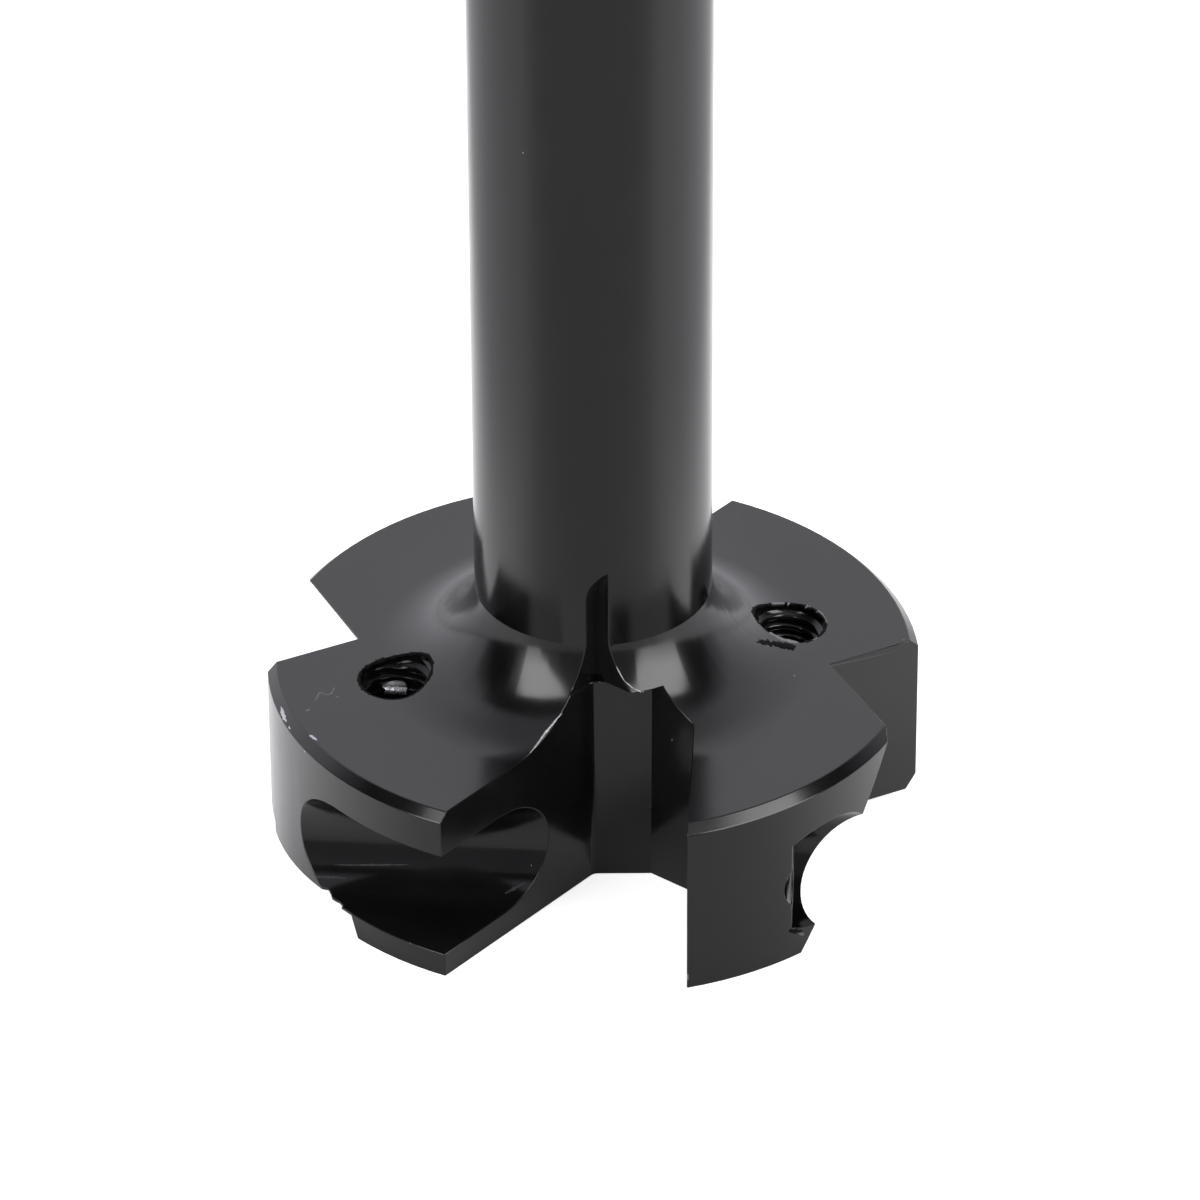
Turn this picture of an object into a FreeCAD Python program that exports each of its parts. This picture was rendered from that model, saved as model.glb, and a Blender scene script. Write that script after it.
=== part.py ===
import FreeCAD, Part
import math
import os

# Body of a surfacing router bit: one steel piece, turned, then milled into four lobes.
# It stands on its head with the shank up. The origin is the centre of the head's
# underside, +Z runs up along the spindle axis and all lengths are in millimetres.
# Each milled feature is made once, for the front and right, and again half a turn away.

V = FreeCAD.Vector

# Turned body
head_diameter = 35.1
head_height = 10.2
rim_chamfer = 0.5
shank_diameter = 12.7
shank_length = 50.8
shank_end_chamfer = 1.0
neck_radius = 5.7
neck_height = 4.5

# Front gullet: trailing wall, flat next to the core and relief facet, all leaning a little
gullet_wall_angle = 50.0
gullet_wall_offset = 4.0
gullet_lean = 0.8
gullet_root_radius = 0.5
gullet_rise = 2.05
core_flat_offset = 6.3
core_flat_end = 3.02
relief_angle = 39.0

# Round-topped flute up the shank, beside the gullet's trailing wall
flute_wall_offset = 3.77
flute_floor_offset = 4.31
flute_top_radius = 2.1
flute_centre_rise = 7.2

# Upright seat of the side insert, with its tapped hole and the recess behind it
seat_turn = 3.0
seat_offset = 5.67
side_screw_reach = 11.9
side_screw_height = 4.5
side_screw_depth = 11.1
thread_diameter = 4.0
recess_radius = 3.1

# Round-ended slot for the driver across the next lobe, a little off the screw's line
slot_radius = 3.1
slot_turn = 4.8
slot_reach = 12.3
web_thickness = 0.15

# Side notch: upright leading face, trailing wall with a short land and a slope below it
leading_angle = 27.0
leading_offset = 7.0
trailing_angle = 25.0
trailing_offset = 10.9
trailing_slope = 34.2
trailing_land = 0.15

# Tilted seat of the flat insert on the underside, with its tapped hole
insert_side = 12.0
insert_overhang = 0.5
seat_tilt = 6.1
seat_front_height = 0.55
seat_back_lean = 15.0
flat_screw_reach = 10.6
corner_cut_width = 0.6
corner_cut_height = 0.85

# Cutting bodies run past the metal by this much
margin = 1.0

head_radius = head_diameter / 2
shank_radius = shank_diameter / 2
bore_radius = thread_diameter / 2
far = 2 * head_diameter


def polar(angle, length=1.0):
    """Horizontal vector at an angle in degrees from +X."""
    turn = math.radians(angle)
    return V(length * math.cos(turn), length * math.sin(turn), 0)


def up(length):
    """Vertical vector."""
    return V(0, 0, length)


def tangent(angle):
    """Tangent of an angle in degrees."""
    return math.tan(math.radians(angle))


def prism(points, run):
    """Solid swept from a closed ring of points along a vector."""
    return Part.Face(Part.makePolygon(points + [points[0]])).extrude(run)


def beyond(wall_normal, offset, lean=0.0):
    """Space past a wall: the wall is normal . p = offset at the underside and leans away upwards."""
    foot = wall_normal * offset
    side = up(1).cross(wall_normal) * far
    rise = up(1) - wall_normal * tangent(lean)
    ring = [foot - side, foot + side, foot + side + wall_normal * far, foot - side + wall_normal * far]
    height = head_height + gullet_rise + margin
    return prism([p - rise * margin for p in ring], rise * height)


def stands_at(edge, normal, offset):
    """True for an edge whose two ends lie within a lean's reach of a wall."""
    return all(abs(normal.dot(v.Point) - offset) < 0.3 for v in edge.Vertexes)


def turned_body():
    """Head, neck and shank as one revolved profile."""
    neck_rise = neck_radius - neck_height
    neck_run = math.sqrt(neck_radius ** 2 - neck_rise ** 2)
    neck_centre = V(shank_radius + neck_run, 0, head_height + neck_radius)
    steepest = math.pi + math.atan2(neck_rise, neck_run)
    halfway = (steepest + 1.5 * math.pi) / 2
    neck_middle = neck_centre + V(math.cos(halfway), 0, math.sin(halfway)) * neck_radius
    top = head_height + shank_length
    p = [
        V(shank_radius, 0, head_height + neck_height),
        V(shank_radius, 0, top - shank_end_chamfer),
        V(shank_radius - shank_end_chamfer, 0, top),
        V(0, 0, top),
        V(0, 0, 0),
        V(head_radius, 0, 0),
        V(head_radius, 0, head_height - rim_chamfer),
        V(head_radius - rim_chamfer, 0, head_height),
        neck_centre - up(neck_radius),
    ]
    edges = [Part.LineSegment(a, b).toShape() for a, b in zip(p, p[1:])]
    edges.append(Part.Arc(p[-1], neck_middle, p[0]).toShape())
    return Part.Face(Part.Wire(edges)).revolve(V(0, 0, 0), up(1), 360)


def screw_axes():
    """Outward direction of the side screw, and the direction across it away from the axis."""
    return polar(-seat_turn), polar(-seat_turn - 90)


def gullet():
    """Deep gullet from the underside up into the neck, up to the upright seat, with a rounded root."""
    along, outward = screw_axes()
    trailing = polar(gullet_wall_angle - 90)
    core = polar(-90)
    relief = polar(-90 - relief_angle)
    relief_offset = relief.dot(V(core_flat_end, -core_flat_offset, 0))
    space = beyond(trailing, gullet_wall_offset, gullet_lean)
    space = space.common(beyond(core, core_flat_offset, gullet_lean))
    at_wall = [e for e in space.Edges if stands_at(e, trailing, gullet_wall_offset)]
    root = [e for e in at_wall if stands_at(e, core, core_flat_offset)]
    space = space.makeFillet(gullet_root_radius, root)
    space = space.common(beyond(relief, relief_offset, gullet_lean))
    return space.common(beyond(-along, -seat_offset))


def flute():
    """Shallow flute up the shank: upright wall, flat floor and rounded top."""
    across = polar(gullet_wall_angle - 90)
    outward = polar(gullet_wall_angle + 180)
    wall = across * flute_wall_offset + outward * flute_floor_offset
    width = across * 2 * flute_top_radius
    foot = wall + up(head_height + gullet_rise)
    head = wall + up(head_height + flute_centre_rise)
    rounded = Part.makeCylinder(flute_top_radius, far, head + width / 2, outward)
    return rounded.fuse(prism([foot, foot + width, head + width, head], outward * far))


def side_notch():
    """Notch ahead of the flat insert: upright leading face, sloping trailing wall."""
    out = polar(trailing_angle)
    across = polar(trailing_angle - 90)
    land_foot = head_height - trailing_land
    foot = trailing_offset - tangent(trailing_slope) * (land_foot + margin)
    profile = [
        out * foot - up(margin),
        out * far - up(margin),
        out * far + up(head_height + margin),
        out * trailing_offset + up(head_height + margin),
        out * trailing_offset + up(land_foot),
    ]
    behind = prism([p - across * far for p in profile], across * 2 * far)
    lead = polar(leading_angle - 90)
    run = polar(leading_angle)
    wall = lead * leading_offset - up(margin)
    ring = [wall - run * far, wall + run * far, wall + run * far + lead * far, wall - run * far + lead * far]
    ahead = prism(ring, up(head_height + 2 * margin))
    return behind.common(ahead)


def flat_seat_axes():
    """Front edge of the tilted seat, and its directions outward, back and square up."""
    run = polar(leading_angle)
    lead = polar(leading_angle - 90)
    tilt = math.radians(seat_tilt)
    back = lead * -math.cos(tilt) + up(math.sin(tilt))
    square = lead * math.sin(tilt) + up(math.cos(tilt))
    front = lead * leading_offset + up(seat_front_height)
    return front, run, back, square


def flat_seat():
    """Pocket for the flat insert, open to the notch, the rim and the underside."""
    front, run, back, square = flat_seat_axes()
    depth = insert_side - insert_overhang
    drop = 3 * margin
    profile = [
        front - back * margin,
        front + back * depth,
        front + back * (depth + drop * tangent(seat_back_lean)) - square * drop,
        front - back * margin - square * drop,
    ]
    inner = flat_screw_reach - insert_side / 2
    pocket = prism([p + run * inner for p in profile], run * far)
    return pocket.cut(half_turn(driver_slot(web_thickness)))


def seat_corner():
    """Bevel across the seat's leading corner at the rim."""
    front, run, back, square = flat_seat_axes()
    lead = polar(leading_angle - 90)
    reach = math.sqrt(head_radius ** 2 - leading_offset ** 2)
    corner = front + run * reach + lead * margin
    ring = [
        corner - run * corner_cut_width,
        corner + up(corner_cut_height),
        corner + run * margin + up(corner_cut_height),
        corner + run * margin - up(margin),
        corner - run * corner_cut_width - up(margin),
    ]
    return prism(ring, lead * -3 * margin)


def flat_screw_hole():
    """Tapped hole square to the tilted seat, out through the head's top."""
    front, run, back, square = flat_seat_axes()
    centre = front + run * flat_screw_reach + back * (insert_side / 2 - insert_overhang)
    length = head_height + 4 * margin
    return Part.makeCylinder(bore_radius, length, centre - square * 2 * margin, square)


def side_screw_hole():
    """Tapped hole square to the upright seat, through into the recess behind it."""
    along, outward = screw_axes()
    start = along * (seat_offset - margin) + outward * side_screw_reach + up(side_screw_height)
    length = side_screw_depth - seat_offset + 2 * margin
    return Part.makeCylinder(bore_radius, length, start, along)


def recess():
    """Round flat-bottomed recess behind the side screw, open to the slope and the rim."""
    along, outward = screw_axes()
    start = along * side_screw_depth + outward * side_screw_reach + up(side_screw_height)
    return Part.makeCylinder(recess_radius, head_radius, start, along)


def driver_slot(skin=0.0):
    """Slot across the next lobe, so that a driver reaches the side screw; skin widens it."""
    along = polar(-slot_turn)
    outward = polar(-slot_turn - 90)
    radius = slot_radius + skin
    start = along * -far + outward * slot_reach + up(side_screw_height)
    length = far + seat_offset / 2
    nose = Part.makeCylinder(radius, length, start, along)
    low = start - up(radius)
    ring = [low, low + outward * far, low + outward * far + up(2 * radius), low + up(2 * radius)]
    return nose.fuse(prism(ring, along * length))


def half_turn(shape):
    """Copy on the other side of the spindle axis."""
    twin = shape.copy()
    twin.rotate(V(0, 0, 0), up(1), 180)
    return twin


def cutter_body():
    """The whole bit without its inserts and screws."""
    body = turned_body()
    tools = [gullet().fuse(flute()), side_notch(), flat_seat(), seat_corner(), driver_slot()]
    tools += [recess(), side_screw_hole(), flat_screw_hole()]
    for tool in tools:
        body = body.cut(tool)
        body = body.cut(half_turn(tool))
    return body.removeSplitter()


def main():
    os.makedirs("parts", exist_ok=True)
    body = cutter_body()
    body.exportStep("parts/cutter_body.step")
    box = body.optimalBoundingBox()
    print("valid", body.isValid(), "solids", len(body.Solids), "volume", round(body.Volume, 1))
    print("size", round(box.XLength, 3), round(box.YLength, 3), round(box.ZLength, 3))


main()
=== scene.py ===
import bpy
import bmesh
import math
from mathutils import Matrix, Vector, noise
from mathutils.bvhtree import BVHTree
from mathutils.interpolate import poly_3d_calc


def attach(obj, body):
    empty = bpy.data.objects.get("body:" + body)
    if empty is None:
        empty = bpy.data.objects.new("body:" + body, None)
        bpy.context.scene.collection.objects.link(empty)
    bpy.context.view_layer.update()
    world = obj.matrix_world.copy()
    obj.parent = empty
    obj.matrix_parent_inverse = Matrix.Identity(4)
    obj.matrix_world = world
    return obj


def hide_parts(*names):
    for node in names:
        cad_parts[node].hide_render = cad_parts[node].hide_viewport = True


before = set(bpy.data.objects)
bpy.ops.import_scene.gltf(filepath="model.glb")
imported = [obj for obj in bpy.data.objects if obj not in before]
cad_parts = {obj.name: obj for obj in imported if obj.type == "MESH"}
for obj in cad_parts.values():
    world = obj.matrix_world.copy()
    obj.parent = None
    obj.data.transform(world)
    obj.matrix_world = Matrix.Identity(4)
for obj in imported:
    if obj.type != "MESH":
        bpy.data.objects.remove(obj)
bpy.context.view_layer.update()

# The scene is in metres. Lengths of the part below are in mm and are scaled by this.
MM = 0.001

# Camera at the photo's place, in metres and degrees
CAMERA_PLACE = (0.0, -0.343118, 0.234757)
CAMERA_YAW = -0.06
CAMERA_PITCH = -32.82
CAMERA_ROLL = 0.32
CAMERA_LENS = 228.87

# Softboxes: direction from the bit (degrees from +X, degrees up), distance, width, height, power
SOFTBOXES = {
    "softbox_left": (-135.5, 23.0, 0.60, 0.36, 0.56, 3.6),
    "softbox_right": (-33.0, 23.0, 0.60, 0.43, 0.56, 4.2),
}
SOFTBOX_AIM = Vector((0, 0, 0.012))

# Softbox cloth, across it and up it from 0 to 1: fading borders and a darker lower side
CLOTH_BORDER_ACROSS = 0.06
CLOTH_BORDER_UP = 0.05
CLOTH_LOW_LEVEL = 0.5
CLOTH_LOW_END = 0.45

# One softbox has a shaded corner past a slanting line: the line's foot and slope, its soft edge, and
# the level in the shade
SHADED = "softbox_left"
SHADE_FOOT = 0.43
SHADE_SLOPE = 0.75
SHADE_EDGE = (-0.03, 0.05)
SHADE_LEVEL = 0.07

# Studio around the bit: level by azimuth in degrees from +X; the camera stands at -90
STUDIO_AROUND = [
    (-180, 0.03), (-165, 0.03), (-158, 0.25), (-60, 0.25), (-14, 0.25), (-8, 0.04), (8, 0.03),
    (20, 0.5), (30, 1.0), (60, 1.1), (130, 1.2), (150, 1.3), (165, 1.0), (172, 0.4), (180, 0.03),
]
STUDIO_TINT = (1.0, 0.995, 1.07, 1)

# Studio overhead: share by height of the direction, and its level; above the left softbox it is
# missing, and dark from a height on
STUDIO_OVERHEAD = [(0.75, 0.0), (0.9, 1.0)]
OVERHEAD_LEVEL = 0.6
LEFT_FRONT = -0.707
LEFT_FRONT_EDGE = (0.3, 0.5)
DARK_FROM = (0.7, 0.76)
DARK_LEVEL = 0.02

# Floor: its colour, with painted shade darkening it towards the front, and the sheet's glow seen in the
# steel, by distance behind the bit in metres
FLOOR_REACH = 3.0
FLOOR_SPAN = 0.2
FLOOR_SIDEWAYS = 0.5
FLOOR_COLOUR_AND_SHADE = [(0.1, 0.52), (0.25, 0.52), (0.35, 0.56), (0.42, 0.68), (0.48, 0.85), (0.53, 0.9)]
FLOOR_GLOW = [(0.45, 0.0), (0.56, 0.5), (0.75, 0.5)]
FLOOR_GLOW_REACH = (0.030, 0.055)
FLOOR_GLOW_BESIDE = 0.1
FLOOR_LIFT = 0.72

# Coating over tool marks: sizes per mm, depth in metres, colours
COATING_IOR = 1.5
CLOUD_SCALE = 0.35
GRAIN_SCALE = 20.0
TURNED_SCALE = 6.0
FACED_SCALE = 8.0
TOOL_MARK_DEPTH = 0.5e-6
COATING_DEEP = (0.0024, 0.0025, 0.0028)
COATING_PALE = (0.0042, 0.0042, 0.0046)
COATING_ROUGHNESS = (0.12, 0.2)
WORN_SCALE = 1.1
WORN_COLOUR = (0.28, 0.27, 0.29)
SCRAPE_SCALE = 14.0

# Broken edges of the shown body in mm, on creases above an angle; flatter facets are joined first.
# A corner less than ON_SKIN off lies on the part's own surface, whose normal is read INTO_FACE away
# from the crease.
EDGE_BREAK = 0.055
CREASE = math.radians(9)
FLAT_ENOUGH = math.radians(0.4)
ON_SKIN = 0.002
INTO_FACE = 0.005

# Material slots of the shown body: coating, broken edges, torn metal
COATING, EDGES, TORN = 0, 1, 2

# Torn end of the thin web under the front slot: outline in plan in mm, cut up to this height
TORN_OUTLINE = [
    (-14.72, -9.66), (-14.45, -9.8), (-14.2, -9.86), (-14.08, -10.12), (-13.99, -10.44), (-13.79, -10.62),
    (-13.6, -10.74), (-13.44, -11.0), (-13.36, -11.08), (-13.52, -11.3), (-13.4, -11.5), (-13.46, -11.66),
    (-14.6, -12.6), (-16.6, -10.4), (-15.6, -8.9),
]
TORN_FOOT = -1
TORN_TOP = 1.78

# Tapped holes in mm: bore as in the part's source, thread's pitch and radius at its crests, how far
# its roots lie in the wall, its fading ends, its unevenness and the plain stretch below the top mouths
BORE_RADIUS = 2.0
THREAD_PITCH = 0.7
THREAD_CREST = 1.66
THREAD_STEPS = 72
THREAD_BEHIND = 0.01
THREAD_FADE = 0.25
THREAD_WOBBLE = 0.03
THREAD_MERGE = 0.0005
MOUTH_PLAIN = 0.4

# A hole's ends are found by rays along its wall in mm: this far outside the bore, from this far along
# it, and the thread stays this far inside them
WALL_BESIDE = 0.06
WALL_START = 3.0
WALL_CLEAR = 0.05

# Burr around the top mouths, found by rays from above. How far it hangs in and spreads out in mm:
# mean, then the shares of the rough and of the fine noise.
BURR_STEPS = 180
BURR_BESIDE = 0.05
BURR_ABOVE = 30
BURR_INWARD = (0.17, 0.13, 0.08)
BURR_OUTWARD = (0.05, 0.22, 0.12)
BURR_HEIGHT = (0.012, 0.03)

# Bare stretches of the burr on the right hole, in degrees from +X: wider at the front, narrower elsewhere
BURR_BARE = [(-125, -76), (-52, -44), (0, 38), (53, 58), (90, 114)]
BURR_FRONT = -0.8
BARE_WIDER = 0.14
BARE_NARROWER = 0.45

# Marks are ribbons: step along them and height of their sides in mm, and least square of their taper
RIBBON_STEP = 0.06
RIBBON_SINK = -0.006
RIBBON_END = 0.02

# Marks, painted highlights, painted reflections and painted shade on the surface in mm: points along it,
# half width, height
BARE_MARKS_AND_HIGHLIGHTS = [
    ([(-16.6, -4.75, 9.85), (-16.57, -5.2, 9.85), (-16.45, -5.75, 9.83), (-16.33, -6.1, 9.82)], 0.14, 0.03),
    ([(-16.2, -6.45, 9.77), (-16.1, -6.75, 9.77)], 0.05, 0.02),
    ([(-15.04, -7.92, 10.2), (-14.64, -8.44, 10.2)], 0.1, 0.02),
    ([(-15.33, -8.52, 9.62), (-15.24, -8.68, 9.6)], 0.05, 0.02),
    ([(4.85, -16.86, 0.95), (4.85, -16.86, 0.5)], 0.03, 0.005),
    ([(-3.45, -5.33, 43.98), (-3.41, -5.36, 43.9)], 0.05, 0.02),
    ([(-3.4, -9.5, 2.75), (-3.38, -9.47, 2.85)], 0.05, 0.02),
    ([(4.13, -7.04, 9.2), (4.13, -7.04, 9.1)], 0.04, 0.02),
    # The next two are painted highlight: bright lines along a wall's edge where it meets the neck
    ([(1.2, -6.68, 13.6), (1.38, -6.8, 13.25), (1.6, -6.93, 12.86)], 0.032, 0.03),
    ([(1.6, -6.93, 12.86), (2.02, -7.07, 12.5), (2.44, -7.11, 12.28), (2.7, -7.15, 12.15)], 0.035, 0.03),
    ([(-3.38, -10.0, 10.34), (-2.59, -8.88, 10.9), (-1.66, -7.95, 11.55)], 0.06, 0.03),
]
PALE_MARKS = [
    ([(-14.93, -4.8, 10.2), (-14.79, -4.5, 10.2), (-14.69, -4.13, 10.2), (-14.65, -3.95, 10.2),
      (-14.54, -3.92, 10.2), (-14.35, -4.06, 10.2), (-14.17, -4.09, 10.2), (-13.97, -3.93, 10.2),
      (-13.88, -3.63, 10.2), (-13.87, -3.3, 10.2)], 0.07, 0.006),
    ([(-15.34, -5.68, 10.2), (-15.07, -5.44, 10.2)], 0.11, 0.005),
    ([(-13.82, -4.21, 10.2), (-13.54, -4.35, 10.2)], 0.04, 0.004),
    ([(-11.93, 7.85, 10.2), (-11.89, 7.87, 10.2)], 0.06, 0.006),
    ([(-9.1, 6.1, 10.28), (-8.7, 6.0, 10.37)], 0.04, 0.006),
    ([(-15.12, 7.29, 10.2), (-15.0, 7.34, 10.2)], 0.05, 0.006),
    ([(8.0, 13.6, 10.2), (8.06, 13.55, 10.2)], 0.06, 0.006),
    ([(10.65, -2.62, 10.28), (10.8, -2.62, 10.26)], 0.1, 0.01),
    ([(16.6, 0.9, 10.2), (16.76, 0.96, 10.2)], 0.09, 0.012),
    ([(10.76, -13.86, 1.34), (10.9, -13.76, 1.24), (11.04, -13.64, 1.11)], 0.08, 0.02),
    ([(2.97, -6.24, 4.36), (2.97, -6.24, 4.28)], 0.05, 0.006),
    ([(-9.82, -14.53, 1.4), (-9.7, -14.62, 1.4)], 0.08, 0.01),
    ([(-9.32, -14.87, 1.4), (-9.2, -14.95, 1.4)], 0.06, 0.01),
]
# Painted reflections and a painted highlight in the front slot: pale strips where its walls mirror the
# bright studio
SLOT_PAINTED_REFLECTIONS = [
    ([(-13.92, -8.83, 2.47), (-13.06, -8.89, 2.48), (-9.9, -9.06, 2.6)], 0.07, 0.006),
    ([(-14.89, -9.26, 2.0), (-14.12, -9.32, 2.0), (-13.22, -9.41, 1.99)], 0.12, 0.006),
    ([(-4.79, -10.56, 1.73), (-4.26, -10.27, 1.91), (-3.67, -10.03, 2.13)], 0.13, 0.006),
]
# Gouges whose black strips are painted shade, as they look dark in their grooves
GOUGES_PAINTED_SHADE = [
    ([(8.73, -0.68, 11.15), (9.26, -0.27, 10.85), (9.74, -0.08, 10.6), (10.36, 0.05, 10.42),
      (10.85, 0.25, 10.3)], 0.3, 0.03),
    ([(9.5, -0.12, 10.7), (10.1, 0.0, 10.5), (10.9, 0.2, 10.3)], 0.33, 0.04),
    ([(10.2, -14.28, 1.85), (10.55, -14.02, 1.6), (10.95, -13.72, 1.42)], 0.14, 0.02),
]

# Chip of broken thread on the far wall of the left hole in mm: middle, half sizes, facing; the dull
# dome lies behind it
CHIP_MIDDLE = Vector((-10.74, -1.28, 8.6))
CHIP_HALF = Vector((0.72, 0.2, 0.2))
CHIP_FACING = Vector((-0.1, -0.84, 0.53)).normalized()
CHIP_STEPS = 12
CHIP_BOW = -0.06
CHIP_BEHIND = 0.06
CHIP_RAGGED = 0.25
CHIP_BEVEL = 0.02
DOME_HEIGHT = 2.1


def polar(angle, length=1.0):
    """Horizontal vector at an angle in degrees from +X."""
    a = math.radians(angle)
    return Vector((length * math.cos(a), length * math.sin(a), 0))


# Hole axes as in the part's source: flat insert's screw and side insert's screw. The other pair is
# half a turn away.
SEAT_TURN = 27.0
SEAT_TILT = math.radians(6.1)
SEAT_FRONT = polar(SEAT_TURN - 90, 7.0) + Vector((0, 0, 0.55))
SEAT_BACK = polar(SEAT_TURN - 90, -math.cos(SEAT_TILT)) + Vector((0, 0, math.sin(SEAT_TILT)))
SEAT_SQUARE = polar(SEAT_TURN - 90, math.sin(SEAT_TILT)) + Vector((0, 0, math.cos(SEAT_TILT)))
FLAT_HOLE = SEAT_FRONT + polar(SEAT_TURN, 10.6) + SEAT_BACK * 5.5
SIDE_AXIS = polar(-3.0)
SIDE_HOLE = SIDE_AXIS * 5.67 + polar(-93.0, 11.9) + Vector((0, 0, 4.5))
HALF_TURN = Matrix.Rotation(math.pi, 3, "Z")


class Graph:
    """A node tree with short calls for adding nodes; a socket, a number or a tuple can go into an input."""

    def __init__(self, tree):
        self.nodes, self.links = tree.nodes, tree.links

    def add(self, kind, inputs=None, **settings):
        node = self.nodes.new("ShaderNode" + kind)
        for key, value in settings.items():
            setattr(node, key, value)
        for key, value in (inputs or {}).items():
            self.put(value, node.inputs[key])
        return node

    def put(self, value, socket):
        if isinstance(value, bpy.types.NodeSocket):
            self.links.new(value, socket)
        else:
            socket.default_value = value

    def math(self, operation, *values, clamp=False):
        inputs = dict(enumerate(values))
        return self.add("Math", inputs, operation=operation, use_clamp=clamp).outputs[0]

    def vector(self, operation, *values, out=0):
        inputs = dict(enumerate(values))
        return self.add("VectorMath", inputs, operation=operation).outputs[out]

    def split(self, vector):
        """The three numbers of a vector."""
        return self.add("SeparateXYZ", {0: vector}).outputs

    def mix(self, share, low, high, **settings):
        """Colour or number between two, by a share from 0 to 1."""
        return self.add("MixRGB", {0: share, 1: low, 2: high}, **settings).outputs[0]

    def ramp(self, value, stops):
        """Grey level by a value from 0 to 1."""
        node = self.add("ValToRGB", {"Fac": value})
        elements = node.color_ramp.elements
        while len(elements) < len(stops):
            elements.new(0.5)
        for element, (place, level) in zip(elements, stops):
            element.position = place
        for element, (place, level) in zip(elements, stops):
            element.color = (level, level, level, 1)
        return node.outputs["Color"]

    def spread(self, value, low, high, to_low=0.0, to_high=1.0):
        """Smoothly clamped range of a value."""
        inputs = {0: value, 1: low, 2: high, 3: to_low, 4: to_high}
        return self.add("MapRange", inputs, interpolation_type="SMOOTHSTEP").outputs[0]

    def noise(self, vector, scale, detail):
        return self.add("TexNoise", {"Vector": vector, "Scale": scale, "Detail": detail}).outputs[0]

    def lines(self, value, scale):
        """Grooves along one number."""
        inputs = {"W": value, "Scale": scale, "Detail": 4.0}
        return self.add("TexNoise", inputs, noise_dimensions="1D").outputs[0]


def emptied(owner):
    """The graph of a world, lamp or material, without its usual nodes."""
    owner.use_nodes = True
    owner.node_tree.nodes.clear()
    return Graph(owner.node_tree)


def placed(obj):
    """An object put into the scene."""
    bpy.context.scene.collection.objects.link(obj)
    return obj


def make_camera():
    data = bpy.data.cameras.new("camera")
    data.lens = CAMERA_LENS
    data.sensor_width = 36.0
    camera = placed(bpy.data.objects.new("camera", data))
    camera.matrix_world = (
        Matrix.Translation(CAMERA_PLACE)
        @ Matrix.Rotation(math.radians(CAMERA_YAW), 4, "Z")
        @ Matrix.Rotation(math.radians(90 + CAMERA_PITCH), 4, "X")
        @ Matrix.Rotation(math.radians(-CAMERA_ROLL), 4, "Z")
    )
    bpy.context.scene.camera = camera


def direction(azimuth, elevation):
    a, e = math.radians(azimuth), math.radians(elevation)
    return Vector((math.cos(a) * math.cos(e), math.sin(a) * math.cos(e), math.sin(e)))


def make_softbox(name, azimuth, elevation, distance, width, height, power):
    data = bpy.data.lights.new(name, "AREA")
    data.shape = "RECTANGLE"
    data.size = width
    data.size_y = height
    data.energy = power
    lamp = placed(bpy.data.objects.new(name, data))
    lamp.location = direction(azimuth, elevation) * distance + SOFTBOX_AIM
    lamp.rotation_euler = direction(azimuth, elevation).to_track_quat("Z", "Y").to_euler()
    lamp.visible_camera = False
    light_cloth(data, name == SHADED)


def light_cloth(data, shaded):
    """Softbox cloth: a little darker towards its lower side and fading at its borders."""
    g = emptied(data)
    place = g.split(g.add("NewGeometry").outputs["Parametric"])
    across, up = place["X"], place["Y"]
    border = CLOTH_BORDER_ACROSS
    sides = g.math("MULTIPLY", g.spread(across, 0.0, border), g.spread(across, 1.0, 1 - border))
    border = CLOTH_BORDER_UP
    ends = g.math("MULTIPLY", g.spread(up, 0.0, border), g.spread(up, 1.0, 1 - border))
    low = g.spread(up, 0.0, CLOTH_LOW_END, CLOTH_LOW_LEVEL, 1.0)
    level = g.math("MULTIPLY", g.math("MULTIPLY", sides, ends), low)
    if shaded:
        inside = g.math("SUBTRACT", g.math("MULTIPLY_ADD", up, SHADE_SLOPE, SHADE_FOOT), across)
        level = g.math("MULTIPLY", level, g.spread(inside, *SHADE_EDGE, SHADE_LEVEL, 1.0))
    light = g.add("Emission", {"Color": (1, 1, 1, 1), "Strength": level})
    g.put(light.outputs[0], g.add("OutputLight").inputs["Surface"])


def make_world():
    """Studio around the bit, plain white where the camera sees it."""
    world = bpy.data.worlds.new("studio")
    bpy.context.scene.world = world
    g = emptied(world)
    way = g.split(g.add("TexCoord").outputs["Generated"])
    turn = g.math("ARCTAN2", way["Y"], way["X"])
    place = g.math("MULTIPLY_ADD", turn, 1 / (2 * math.pi), 0.5)
    around = g.ramp(place, [((azimuth + 180) / 360, level) for azimuth, level in STUDIO_AROUND])
    towards = g.math("MULTIPLY", g.math("ADD", way["X"], way["Y"]), LEFT_FRONT)
    left_front = g.spread(towards, *LEFT_FRONT_EDGE)
    dark = g.math("MULTIPLY", left_front, g.spread(way["Z"], *DARK_FROM))
    around = g.mix(dark, around, (DARK_LEVEL,) * 3 + (1,))
    open_side = g.math("SUBTRACT", 1.0, left_front)
    overhead = g.math("MULTIPLY", g.ramp(way["Z"], STUDIO_OVERHEAD), open_side)
    studio = g.mix(overhead, around, (OVERHEAD_LEVEL,) * 3 + (1,))
    tinted = g.mix(1.0, studio, STUDIO_TINT, blend_type="MULTIPLY")
    colour = g.mix(g.add("LightPath").outputs["Is Camera Ray"], tinted, (1, 1, 1, 1))
    light = g.add("Background", {"Color": colour, "Strength": 1.0})
    g.put(light.outputs[0], g.add("OutputWorld").inputs["Surface"])


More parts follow.
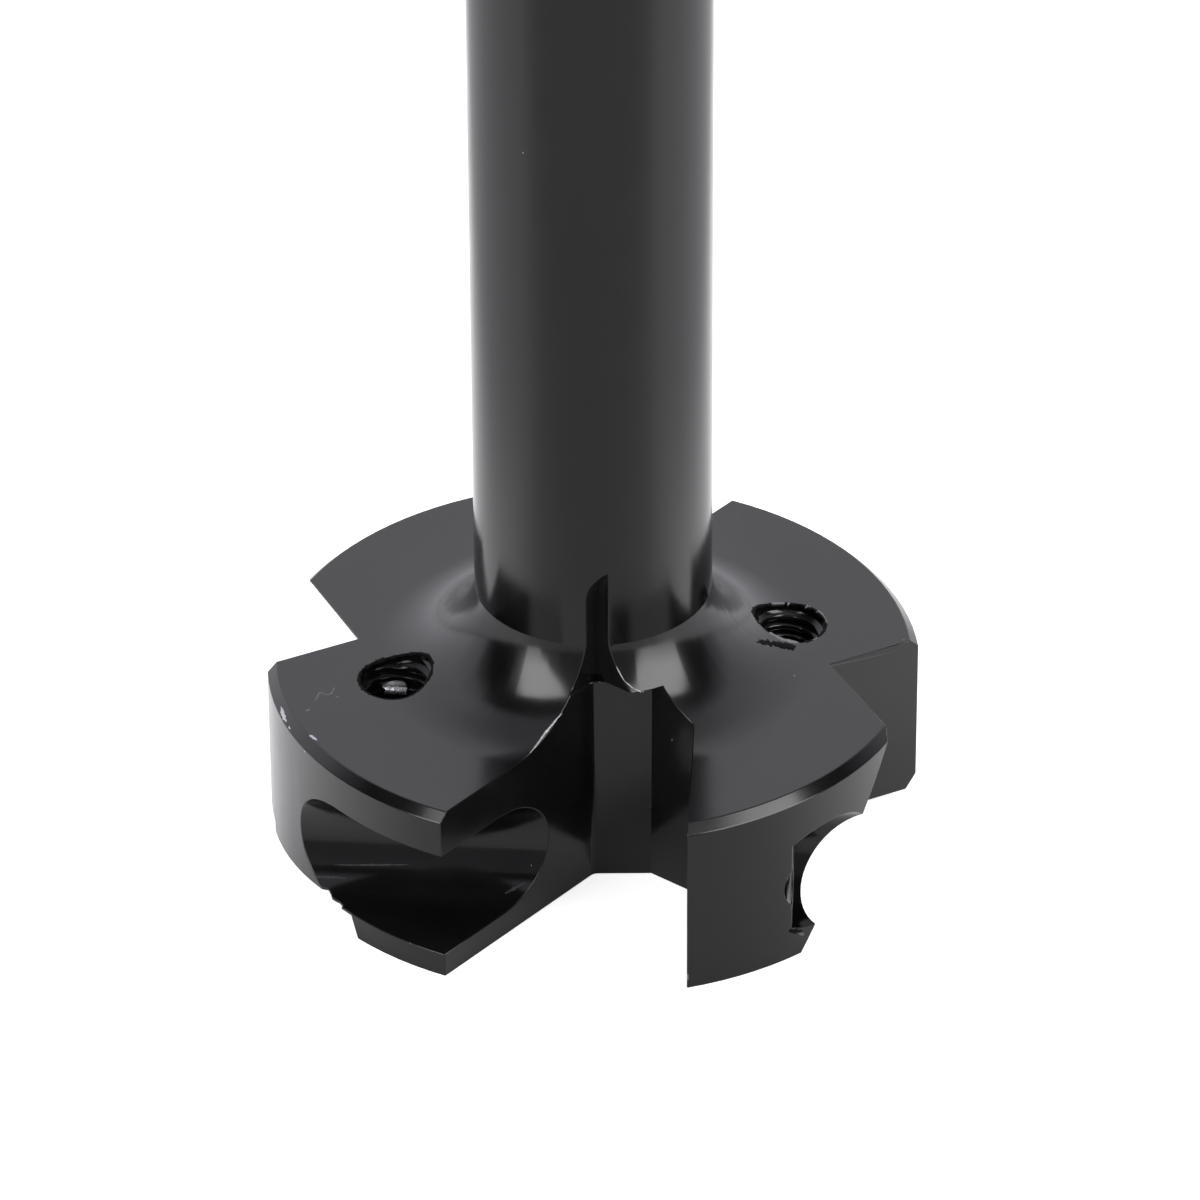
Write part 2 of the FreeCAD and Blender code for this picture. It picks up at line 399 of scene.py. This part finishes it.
def make_floor():
    """Pale floor that keeps the bit's shadow, with painted shade darkening it towards the front; the steel
    mirrors a glowing sheet behind the bit.
    """
    mesh = bpy.data.meshes.new("floor")
    s = FLOOR_REACH
    mesh.from_pydata([(-s, -s, 0), (s, -s, 0), (s, s, 0), (-s, s, 0)], [], [(0, 1, 2, 3)])
    floor = placed(bpy.data.objects.new("floor", mesh))
    material = bpy.data.materials.new("floor_white")
    g = emptied(material)
    xyz = g.split(g.add("TexCoord").outputs["Object"])
    sideways = g.math("ABSOLUTE", xyz["X"])
    depth = g.math("MULTIPLY_ADD", sideways, FLOOR_SIDEWAYS, xyz["Y"])
    place = g.math("MULTIPLY_ADD", depth, 1 / FLOOR_SPAN, 0.5, clamp=True)
    # Painted shade: the floor's colour falls from 0.9 behind the bit to 0.52 in front of it
    floor_paint_and_shade = g.add("BsdfDiffuse", {"Color": g.ramp(place, FLOOR_COLOUR_AND_SHADE)})
    rays = g.add("LightPath").outputs
    lift = g.math("MULTIPLY", rays["Is Camera Ray"], FLOOR_LIFT)
    reach = g.spread(sideways, *FLOOR_GLOW_REACH, 1.0, FLOOR_GLOW_BESIDE)
    glossy = g.math("MULTIPLY", rays["Is Glossy Ray"], reach)
    shine = g.math("MULTIPLY_ADD", glossy, g.ramp(place, FLOOR_GLOW), lift)
    glow = g.add("Emission", {"Color": (1, 1, 1, 1), "Strength": shine})
    both = g.add("AddShader", {0: floor_paint_and_shade.outputs[0], 1: glow.outputs[0]})
    g.put(both.outputs[0], g.add("OutputMaterial").inputs["Surface"])
    mesh.materials.append(material)


def base_material(name, specular=None):
    """A material, its graph, its main shader's inputs and the place on the object in mm."""
    m = bpy.data.materials.new(name)
    m.use_nodes = True
    g = Graph(m.node_tree)
    shader = g.nodes["Principled BSDF"].inputs
    shader["IOR"].default_value = COATING_IOR
    if specular is not None:
        shader["Specular IOR Level"].default_value = specular
    scale = {0: g.add("TexCoord").outputs["Object"], 3: 1 / MM}
    place = g.add("VectorMath", scale, operation="SCALE").outputs[0]
    return m, g, shader, place


def coated_steel(name, wear=0.0, specular=None):
    """Glossy black coating over turned and milled steel; wear shows pale metal in patches."""
    m, g, shader, place = base_material(name, specular)
    radius = g.vector("LENGTH", g.vector("MULTIPLY", place, (1, 1, 0)), out=1)
    height = g.split(place)["Z"]
    facing = g.split(g.add("NewGeometry").outputs["Normal"])["Z"]
    level = g.spread(g.math("ABSOLUTE", facing), 0.75, 0.9)
    clouds = g.noise(place, CLOUD_SCALE, 4.0)
    grain = g.noise(place, GRAIN_SCALE, 2.0)

    marks = g.mix(level, g.lines(height, TURNED_SCALE), g.lines(radius, FACED_SCALE))
    marks = g.math("MULTIPLY_ADD", grain, 0.1, marks)
    bump = g.add("Bump", {"Strength": 1.0, "Distance": TOOL_MARK_DEPTH, "Height": marks})

    colour = g.mix(clouds, COATING_DEEP + (1,), COATING_PALE + (1,))
    gloss = g.math("MULTIPLY_ADD", grain, 0.3, clouds)
    rough = g.spread(gloss, 0.3, 1.0, *COATING_ROUGHNESS)
    if wear > 0:
        bare = g.math("MULTIPLY", g.spread(g.noise(place, WORN_SCALE, 5.0), 0.5, 0.78), wear)
        colour = g.mix(bare, colour, WORN_COLOUR + (1,))
        rough = g.math("MULTIPLY_ADD", bare, 0.3, rough)
    g.put(colour, shader["Base Color"])
    g.put(rough, shader["Roughness"])
    g.put(bump.outputs[0], shader["Normal"])
    return m


def scraped(name, low, high, metallic, roughness, depth, specular=None):
    """Metal or coating that a knock, a burr or a tear has left rough."""
    m, g, shader, place = base_material(name, specular)
    shader["Metallic"].default_value = metallic
    grain = g.noise(place, SCRAPE_SCALE, 5.0)
    bump = g.add("Bump", {"Strength": 1.0, "Distance": depth, "Height": grain})
    g.put(g.mix(g.spread(grain, 0.35, 0.65), low + (1,), high + (1,)), shader["Base Color"])
    g.put(g.spread(grain, 0.3, 0.7, roughness * 0.7, roughness * 1.3), shader["Roughness"])
    g.put(bump.outputs[0], shader["Normal"])
    return m


class Skin:
    """The node's own surface, with its normals."""

    def __init__(self, mesh):
        self.points = [v.co.copy() for v in mesh.vertices]
        self.faces = [tuple(p.vertices) for p in mesh.polygons]
        corners = [n.vector.copy() for n in mesh.corner_normals]
        self.normals = [corners[p.loop_start:p.loop_start + p.loop_total] for p in mesh.polygons]
        self.tree = BVHTree.FromPolygons(self.points, self.faces)

    def at(self, point):
        """Nearest place on the surface to a point in metres, and the normal there."""
        foot, face_normal, index, distance = self.tree.find_nearest(point)
        weights = poly_3d_calc([self.points[i] for i in self.faces[index]], foot)
        total = sum((n * w for n, w in zip(self.normals[index], weights)), Vector())
        return foot, (total.normalized() if total.length > 0 else face_normal)

    def off(self, point):
        """How far a point in metres lies off the surface, in mm."""
        return self.tree.find_nearest(point)[3] / MM

    def hit(self, start, way):
        """First place on the surface from a point in mm along a direction, in mm."""
        return self.tree.ray_cast(start * MM, way)[0] / MM


def mesh_from(name, bm):
    mesh = bpy.data.meshes.new(name)
    bm.to_mesh(mesh)
    bm.free()
    return mesh


def piece(name, mesh, *materials):
    """A piece that belongs to the body, in its finish."""
    for m in materials:
        mesh.materials.append(m)
    obj = placed(bpy.data.objects.new(name, mesh))
    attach(obj, "root")
    return obj


def smooth_piece(name, bm, *materials):
    """A piece whose faces all face outward and are smooth."""
    bmesh.ops.recalc_face_normals(bm, faces=bm.faces)
    for f in bm.faces:
        f.smooth = True
    return piece(name, mesh_from(name, bm), *materials)


def bridge(bm, a, b):
    """Faces between two rings of vertices, in their order around."""
    n = len(a)
    return [bm.faces.new((a[i], b[i], b[(i + 1) % n], a[(i + 1) % n])) for i in range(n)]


def is_convex_crease(edge):
    return edge.is_manifold and edge.calc_face_angle(0) > CREASE and edge.calc_face_angle_signed(0) > 0


def tear_tool():
    """Ragged upright block that takes the torn end off the thin web."""
    bm = bmesh.new()
    face = bm.faces.new([bm.verts.new((x * MM, y * MM, TORN_FOOT * MM)) for x, y in TORN_OUTLINE])
    up = bmesh.ops.extrude_face_region(bm, geom=[face])
    tops = [v for v in up["geom"] if isinstance(v, bmesh.types.BMVert)]
    bmesh.ops.translate(bm, verts=tops, vec=(0, 0, (TORN_TOP - TORN_FOOT) * MM))
    bmesh.ops.recalc_face_normals(bm, faces=bm.faces)
    for f in bm.faces:
        f.material_index = TORN
    return placed(bpy.data.objects.new("tear_tool", mesh_from("tear_tool", bm)))


def torn(mesh):
    """The mesh without the torn end of the web."""
    blank = placed(bpy.data.objects.new("blank", mesh))
    tool = tear_tool()
    cut = blank.modifiers.new("tear", "BOOLEAN")
    cut.operation, cut.solver, cut.object, cut.material_mode = "DIFFERENCE", "EXACT", tool, "INDEX"
    bpy.context.view_layer.update()
    whole = blank.evaluated_get(bpy.context.evaluated_depsgraph_get())
    result = bpy.data.meshes.new_from_object(whole)
    for extra in (blank, tool):
        bpy.data.objects.remove(extra)
    return result


def set_corner_normals(mesh, skin):
    """Normals of the exact surfaces on the faces, blended across the broken edges."""
    normals = [None] * len(mesh.loops)
    for p in mesh.polygons:
        for corner in p.loop_indices:
            v = mesh.vertices[mesh.loops[corner].vertex_index]
            inward = (p.center - v.co).normalized() * INTO_FACE * MM
            if p.material_index == COATING:
                normals[corner] = skin.at(v.co + inward)[1]
            elif p.material_index == EDGES:
                on_skin = skin.off(v.co) < ON_SKIN
                normals[corner] = skin.at(v.co - inward)[1] if on_skin else v.normal.copy()
            else:
                normals[corner] = p.normal.copy()
    mesh.polygons.foreach_set("use_smooth", [True] * len(mesh.polygons))
    mesh.normals_split_custom_set(normals)


def shown_body(node, skin):
    """The steel body with its edges broken, on the node's own surfaces."""
    bm = bmesh.new()
    bm.from_mesh(node.data)
    bmesh.ops.remove_doubles(bm, verts=bm.verts, dist=ON_SKIN * MM)
    bmesh.ops.dissolve_limit(bm, angle_limit=FLAT_ENOUGH, verts=bm.verts, edges=bm.edges)
    for f in bm.faces:
        f.material_index = COATING
    sharp = [e for e in bm.edges if is_convex_crease(e)]
    made = bmesh.ops.bevel(bm, geom=sharp, offset=EDGE_BREAK * MM, offset_type="OFFSET", segments=2,
                           profile=0.5, affect="EDGES", clamp_overlap=False, loop_slide=False)
    for f in made["faces"]:
        f.material_index = EDGES
    mesh = torn(mesh_from("blank", bm))
    mesh.name = "cutter_body_shown"
    set_corner_normals(mesh, skin)
    mesh.materials.clear()
    coating = coated_steel("black_coating")
    edges = coated_steel("black_coating_edges", wear=0.2)
    tear = scraped("torn_steel", (0.002, 0.002, 0.002), (0.012, 0.012, 0.013), 0.0, 0.45, 6e-6)
    obj = piece("cutter_body_shown", mesh, coating, edges, tear)
    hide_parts("cutter_body")


def around_axis(axis, steps):
    """Angles and unit vectors square to an axis, evenly around it."""
    side = axis.orthogonal().normalized()
    other = axis.cross(side)
    angles = [2 * math.pi * k / steps for k in range(steps)]
    return [(a, side * math.cos(a) + other * math.sin(a)) for a in angles]


def thread_profile():
    """Breakpoints of one pitch of the thread: share of the pitch and radius in mm."""
    root, crest = BORE_RADIUS, THREAD_CREST
    return [
        (0.0, root), (0.12, root), (0.15, root - 0.035),
        (0.345, crest + 0.07), (0.385, crest + 0.026), (0.43, crest + 0.004), (0.47, crest),
        (0.65, crest), (0.69, crest + 0.004), (0.735, crest + 0.026), (0.775, crest + 0.07),
        (0.97, root - 0.035),
    ]


def wall_span(skin, centre, axis, spoke):
    """Where the wall beside the bore starts and ends along its axis, in mm from the centre."""
    beside = centre + spoke * (BORE_RADIUS + WALL_BESIDE)
    middle = beside + axis * WALL_START
    start = (skin.hit(middle, -axis) - beside).dot(axis)
    end = (skin.hit(middle, axis) - beside).dot(axis)
    return start + WALL_CLEAR, end - WALL_CLEAR


def thread(name, material, skin, centre, axis, mouth_plain):
    """Internal thread on a hole's wall, following both mouths, plain for a way below the outer one."""
    n = THREAD_STEPS
    spokes = [spoke for angle, spoke in around_axis(axis, n)]
    ends = [wall_span(skin, centre, axis, spoke) for spoke in spokes]
    low = min(e[0] for e in ends) - THREAD_PITCH
    turns = int((max(e[1] for e in ends) - low) / THREAD_PITCH) + 2
    rows = [(turn + share, radius) for turn in range(turns) for share, radius in thread_profile()]
    bm = bmesh.new()
    grid = []
    for share, radius in rows:
        row = []
        for k in range(n + 1):
            spoke, (start, end) = spokes[k % n], ends[k % n]
            along = low + THREAD_PITCH * (share + k / n - 1)
            depth = min(along - start, end - mouth_plain - along)
            fade = min(max(depth / THREAD_FADE, 0.0), 1.0)
            wobble = THREAD_WOBBLE * noise.noise(Vector((share * 3, k * 0.2, centre.x)))
            r = BORE_RADIUS + THREAD_BEHIND - (BORE_RADIUS - radius + wobble) * fade
            at = centre + axis * min(max(along, start), end) + spoke * r
            row.append(bm.verts.new(at * MM))
        grid.append(row)
    for a, b in zip(grid, grid[1:]):
        for k in range(n):
            bm.faces.new((a[k], a[k + 1], b[k + 1], b[k]))
    bmesh.ops.remove_doubles(bm, verts=bm.verts, dist=THREAD_MERGE * MM)
    bmesh.ops.dissolve_degenerate(bm, edges=bm.edges, dist=THREAD_MERGE * MM)
    inside = centre + axis * (ends[0][0] + ends[0][1]) / 2
    for f in bm.faces:
        f.smooth = True
        reach = f.calc_center_median() - inside * MM
        if f.normal.dot(reach - axis * reach.dot(axis)) > 0:
            f.normal_flip()
    piece(name, mesh_from(name, bm), material)


def ribbon(bm, skin, points, half_width, height, seed, ragged):
    """Thin raised strip that follows the surface through some points, in mm."""
    path = [Vector(p) for p in points]
    dense = []
    for a, b in zip(path, path[1:]):
        steps = max(2, int((b - a).length / RIBBON_STEP))
        dense += [a.lerp(b, k / steps) for k in range(steps)]
    dense.append(path[-1])
    rings = []
    last = len(dense) - 1
    for k, point in enumerate(dense):
        foot, normal = skin.at(point * MM)
        ahead = (dense[min(k + 1, last)] - dense[max(k - 1, 0)]).normalized()
        side = normal.cross(ahead).normalized()
        taper = math.sqrt(max(RIBBON_END, 1 - (2 * k / last - 1) ** 2))
        w = half_width * taper * (1 + ragged * noise.noise(Vector((k * 0.35, seed, 0.5))) * 2)
        h = height * taper * (1 + ragged * noise.noise(Vector((k * 0.5, seed, 7.5))) * 2)
        section = [(-1.0, RIBBON_SINK), (-0.55, h * 0.8), (0.0, h), (0.55, h * 0.8), (1.0, RIBBON_SINK)]
        rings.append([bm.verts.new(foot + (side * w * t + normal * rise) * MM) for t, rise in section])
    for a, b in zip(rings, rings[1:]):
        bridge(bm, a, b)
    bm.faces.new(rings[0])
    bm.faces.new(list(reversed(rings[-1])))


def ribbons(name, material, skin, marks, ragged=0.3):
    bm = bmesh.new()
    for k, (points, half_width, height) in enumerate(marks):
        ribbon(bm, skin, points, half_width, height, k * 3.7, ragged)
    smooth_piece(name, bm, material)


def mouth_burr(bm, skin, centre, axis, seed, bare=()):
    """Ragged lip around a hole's top mouth, hanging a little way in, with bare stretches."""
    rings, bright = [], []
    for a, spoke in around_axis(axis, BURR_STEPS):
        place = skin.hit(centre + spoke * (BORE_RADIUS + BURR_BESIDE) + axis * BURR_ABOVE, -axis)
        normal = skin.at(place * MM)[1]
        inward = (normal * spoke.dot(normal) - spoke).normalized()
        rough = noise.noise(Vector((math.cos(a) * 5, math.sin(a) * 5, seed)))
        fine = noise.noise(Vector((math.cos(a) * 17, math.sin(a) * 17, seed + 5)))
        azimuth = math.degrees(math.atan2(spoke.y, spoke.x))
        bright.append(any(low + 6 * fine < azimuth < high + 6 * rough for low, high in bare))
        width = BURR_INWARD[0] + BURR_INWARD[1] * rough + BURR_INWARD[2] * fine
        if bright[-1]:
            width = width + BARE_WIDER if spoke.y < BURR_FRONT else width * BARE_NARROWER
        height = BURR_HEIGHT[0] + BURR_HEIGHT[1] * abs(fine)
        outer = BURR_OUTWARD[0] + BURR_OUTWARD[1] * max(rough, 0) + BURR_OUTWARD[2] * fine
        foot = skin.at((place - inward * outer) * MM)[0] / MM
        section = [
            foot - normal * 0.01,
            place + inward * 0.05 + normal * height,
            place + inward * width * 0.75 + normal * (height * 0.5 - 0.02),
            place + inward * width - normal * 0.07,
            place + inward * width * 0.7 - normal * 0.16,
            place + inward * 0.02 - normal * 0.2,
        ]
        rings.append([bm.verts.new(v * MM) for v in section])
    for a, b, shows in zip(rings, rings[1:] + rings[:1], bright):
        for face in bridge(bm, a, b):
            face.material_index = int(shows)


def thread_chip(name, material, dome):
    """Broken bit of thread that shows on the far wall of the left hole, or the dull dome above it."""
    middle, half, wall = CHIP_MIDDLE, CHIP_HALF, CHIP_FACING
    across = Vector((0, 0, 1)).cross(wall).normalized()
    rise = wall.cross(across)
    if dome:
        middle = middle + rise * half.y - wall * CHIP_BEHIND
    bm = bmesh.new()
    columns = []
    for k in range(CHIP_STEPS + 1):
        t = 2 * k / CHIP_STEPS - 1
        top = 1 + CHIP_RAGGED * noise.noise(Vector((k * 0.9, 3, 1)))
        low = 1 + CHIP_RAGGED * noise.noise(Vector((k * 0.9, 8, 2)))
        if dome:
            top = DOME_HEIGHT * math.sqrt(1.02 - t * t)
        at = middle + across * half.x * t + wall * CHIP_BOW * t * t
        front = [at + rise * half.y * top, at - rise * half.y * low]
        back = [p - wall * half.z for p in front]
        columns.append([bm.verts.new(p * MM) for p in (front[0], front[1], back[1], back[0])])
    for a, b in zip(columns, columns[1:]):
        bridge(bm, a, b)
    bm.faces.new(columns[0])
    bm.faces.new(list(reversed(columns[-1])))
    bmesh.ops.bevel(bm, geom=bm.edges[:], offset=CHIP_BEVEL * MM, segments=1, profile=0.5, affect="EDGES")
    smooth_piece(name, bm, material)


def dress(node):
    """All that is shown of the bit, fitted to its CAD node."""
    skin = Skin(node.data)
    shown_body(node, skin)
    coating = coated_steel("black_coating_threads", wear=0.05)
    # Painted shade: the other flat hole's threads reflect less, so that hole reads dark
    threads_painted_shade = coated_steel("coating_threads_painted_shade", specular=0.2)
    back_flat = HALF_TURN @ FLAT_HOLE, HALF_TURN @ SEAT_SQUARE
    back_side = HALF_TURN @ SIDE_HOLE, HALF_TURN @ SIDE_AXIS
    thread("thread_flat_front", coating, skin, FLAT_HOLE, SEAT_SQUARE, MOUTH_PLAIN)
    thread("thread_side_front", coating, skin, SIDE_HOLE, SIDE_AXIS, 0.0)
    thread("thread_flat_back", threads_painted_shade, skin, *back_flat, MOUTH_PLAIN)
    thread("thread_side_back", coating, skin, *back_side, 0.0)

    # Painted shade: near-black, barely reflecting finish for the gouges and for the burrs at the hole
    # mouths
    scale = scraped("black_painted_shade", (0.001,) * 3, (0.003,) * 3, 0.0, 0.7, 2e-5, specular=0.08)
    dull = scraped("dull_steel", (0.14, 0.14, 0.15), (0.3, 0.29, 0.31), 1.0, 0.5, 4e-6)
    bare = scraped("bare_steel_and_highlights", (0.35, 0.34, 0.36), (0.6, 0.6, 0.62), 1.0, 0.35, 3e-6)
    # Painted reflection: pale grey for the strips in the slot
    reflection_paint = scraped("painted_reflection_grey", (0.012, 0.012, 0.014), (0.03, 0.03, 0.035), 0.0, 0.4, 3e-6)
    pale = scraped("scuffed_coating", (0.045, 0.045, 0.05), (0.11, 0.108, 0.116), 0.0, 0.45, 3e-6)
    lips = bmesh.new()
    mouth_burr(lips, skin, FLAT_HOLE, SEAT_SQUARE, 1.0, BURR_BARE)
    mouth_burr(lips, skin, *back_flat, 9.0)
    smooth_piece("burr_mouths", lips, scale, dull)
    ribbons("burr_gouge_painted_shade", scale, skin, GOUGES_PAINTED_SHADE, ragged=0.5)
    # Bare steel nicks, and two painted highlight lines along a wall's edge at the neck
    ribbons("marks_bare_and_highlights", bare, skin, BARE_MARKS_AND_HIGHLIGHTS)
    thread_chip("thread_chip", bare, dome=False)
    thread_chip("thread_chip_dull", dull, dome=True)
    ribbons("slot_reflections_painted", reflection_paint, skin, SLOT_PAINTED_REFLECTIONS)
    ribbons("marks_pale", pale, skin, PALE_MARKS)


bpy.context.scene.view_settings.view_transform = "Standard"
make_camera()
for name, values in SOFTBOXES.items():
    make_softbox(name, *values)
make_world()
make_floor()
dress(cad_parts["cutter_body"])
